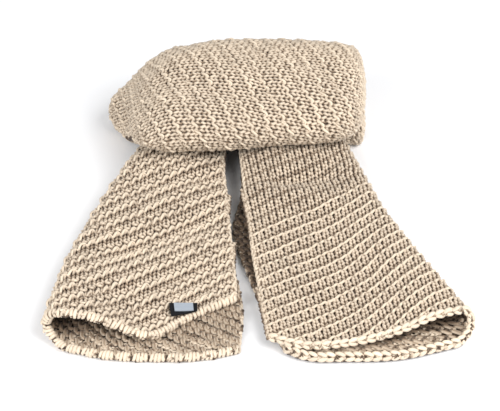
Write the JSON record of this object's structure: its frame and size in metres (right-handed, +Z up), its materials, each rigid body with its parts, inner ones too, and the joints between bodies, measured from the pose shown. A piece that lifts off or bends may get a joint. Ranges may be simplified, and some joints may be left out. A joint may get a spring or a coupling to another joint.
{
  "type": "knit scarf",
  "caption": "Chunky knit scarf in a diagonal rib, folded lengthwise and laid down with its neck loop heaped over both tails.",
  "frame": {"origin": "middle of the scarf's footprint, on the surface it lies on", "axes": "+X to the right across both tails, +Y from the tails' near ends back to the neck loop, +Z up"},
  "size_m": [0.3453, 0.3497, 0.0879],
  "materials": {
    "knit_cream": "matt cream wool and cotton yarn, loosely spun",
    "label_cloth": "black woven tape",
    "label_metal": "pale satin plate, blank"
  },
  "bodies": {
    "root": {"left_tail": "knit_cream", "right_tail": "knit_cream", "neck_wrap": "knit_cream", "neck_underfold": "knit_cream", "label_patch": "label_cloth", "label_plate": "label_metal"}
  },
  "joints": []
}
